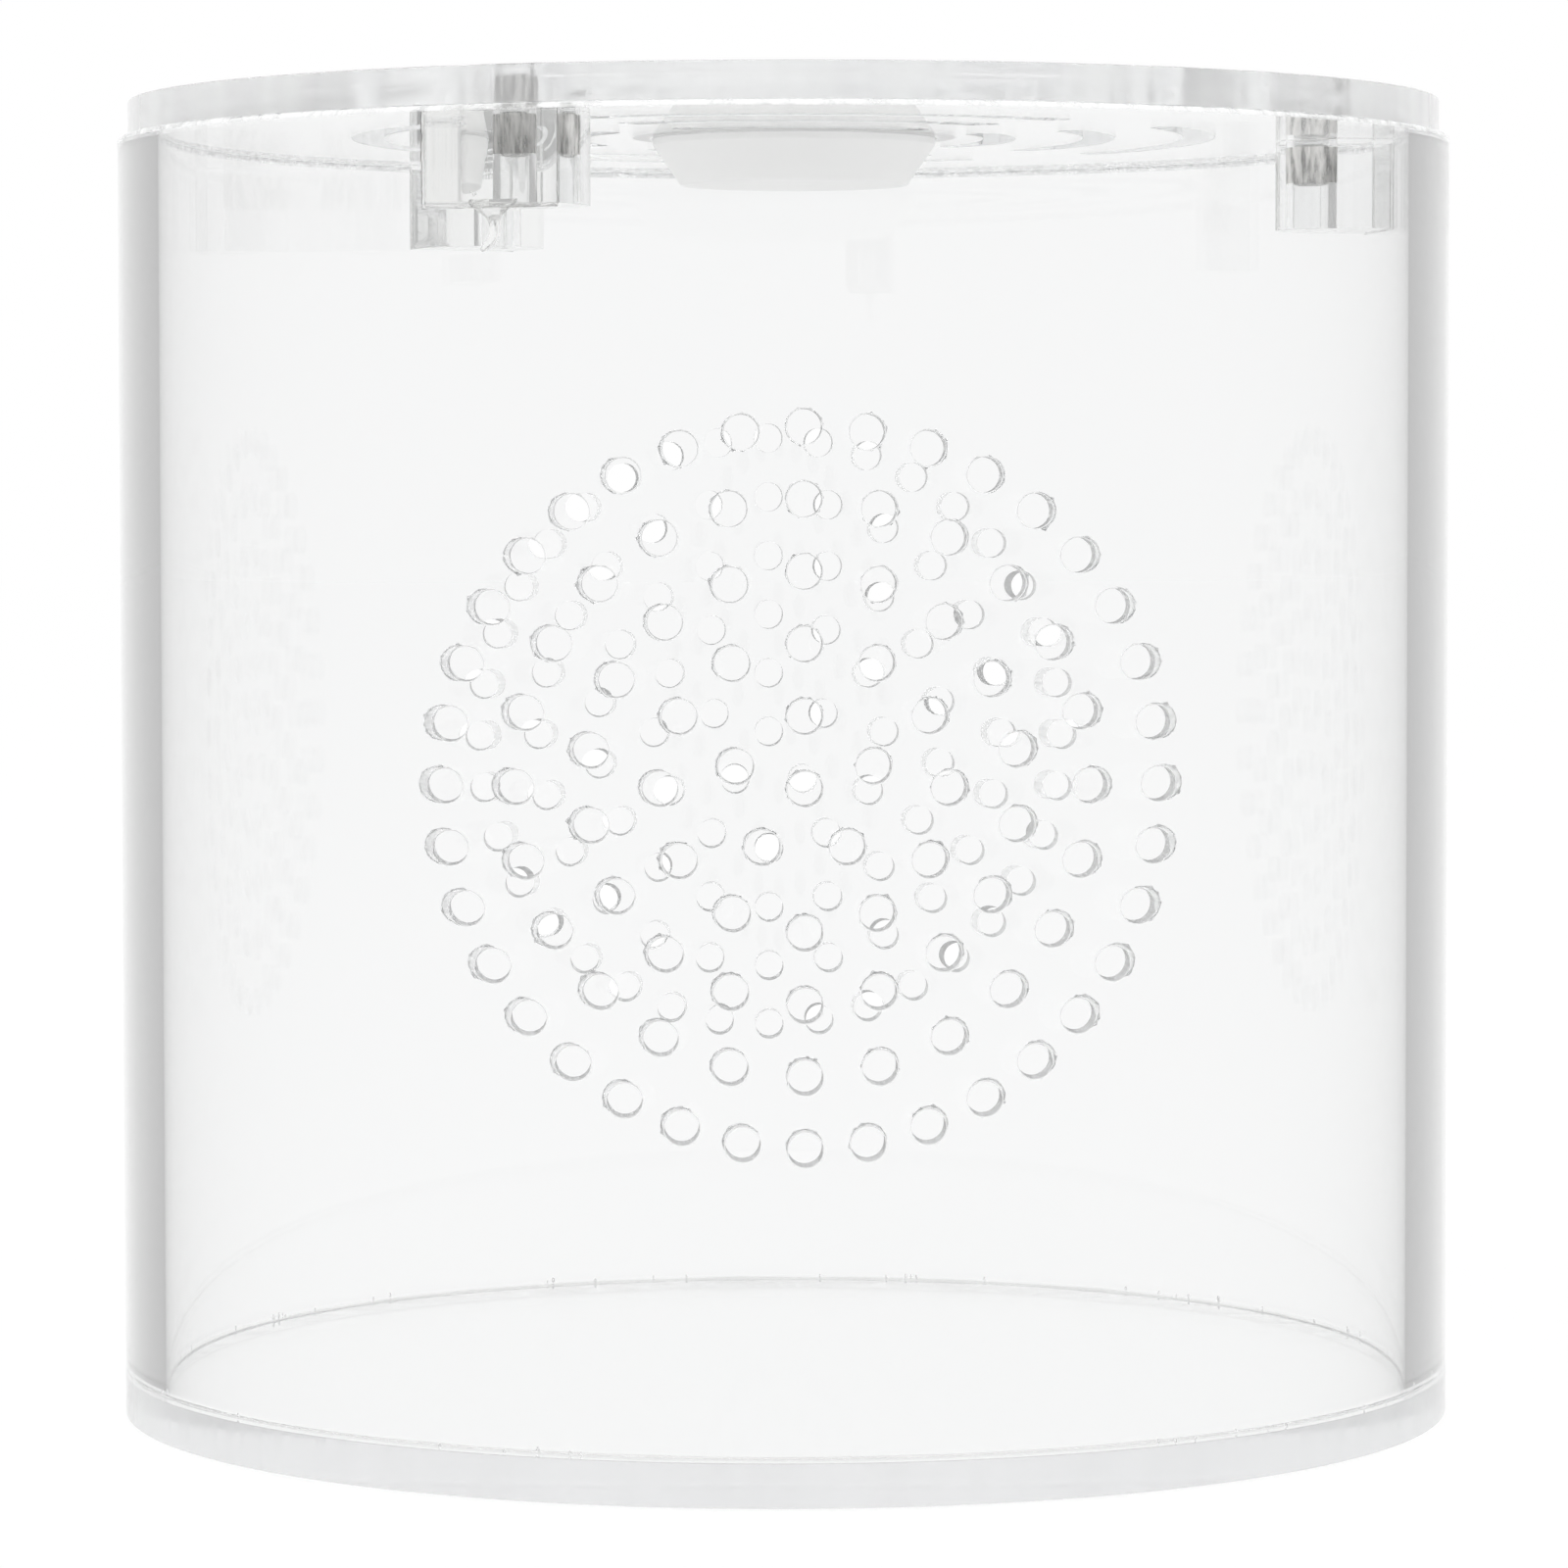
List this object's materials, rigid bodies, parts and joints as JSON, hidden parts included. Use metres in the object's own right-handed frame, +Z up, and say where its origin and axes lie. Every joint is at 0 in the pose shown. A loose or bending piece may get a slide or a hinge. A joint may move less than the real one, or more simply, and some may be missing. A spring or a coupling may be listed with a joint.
{
  "type": "acrylic spider enclosure",
  "caption": "Round clear enclosure for a small spider: vented tube on a cemented base, loose magnet-held lid with curved vent slots and a soft feeding stopper.",
  "frame": {"origin": "middle of the base disc's underside", "axes": "+Z up along the tube's axis; the round vent pattern that faces the viewer is on -Y; +X to the viewer's right"},
  "size_m": [0.1, 0.1, 0.1002],
  "materials": {
    "acrylic": "clear polished acrylic, saw-cut edges",
    "cement": "clear dried acrylic cement",
    "silicone": "milky translucent silicone",
    "nickel": "nickel plating"
  },
  "bodies": {
    "tank": {"base_disc": "acrylic", "tube": "acrylic", "base_cement": "cement", "magnet_block_front": "acrylic", "magnet_block_right": "acrylic", "magnet_block_rear": "acrylic", "block_magnet_front": "nickel", "block_magnet_right": "nickel", "block_magnet_rear": "nickel", "block_cement_front": "cement", "block_cement_right": "cement", "block_cement_rear": "cement"},
    "lid": {"lid_disc": "acrylic", "lid_magnet_front": "nickel", "lid_magnet_right": "nickel", "lid_magnet_rear": "nickel"},
    "stopper": {"feeding_stopper": "silicone"}
  },
  "joints": [
    {"name": "lid_lift", "type": "slide", "parent": "tank", "child": "lid", "axis": [0, 0, 1], "range_m": [0, 0.06]},
    {"name": "stopper_pull", "type": "slide", "parent": "lid", "child": "stopper", "axis": [0, 0, 1], "range_m": [0, 0.025]}
  ]
}
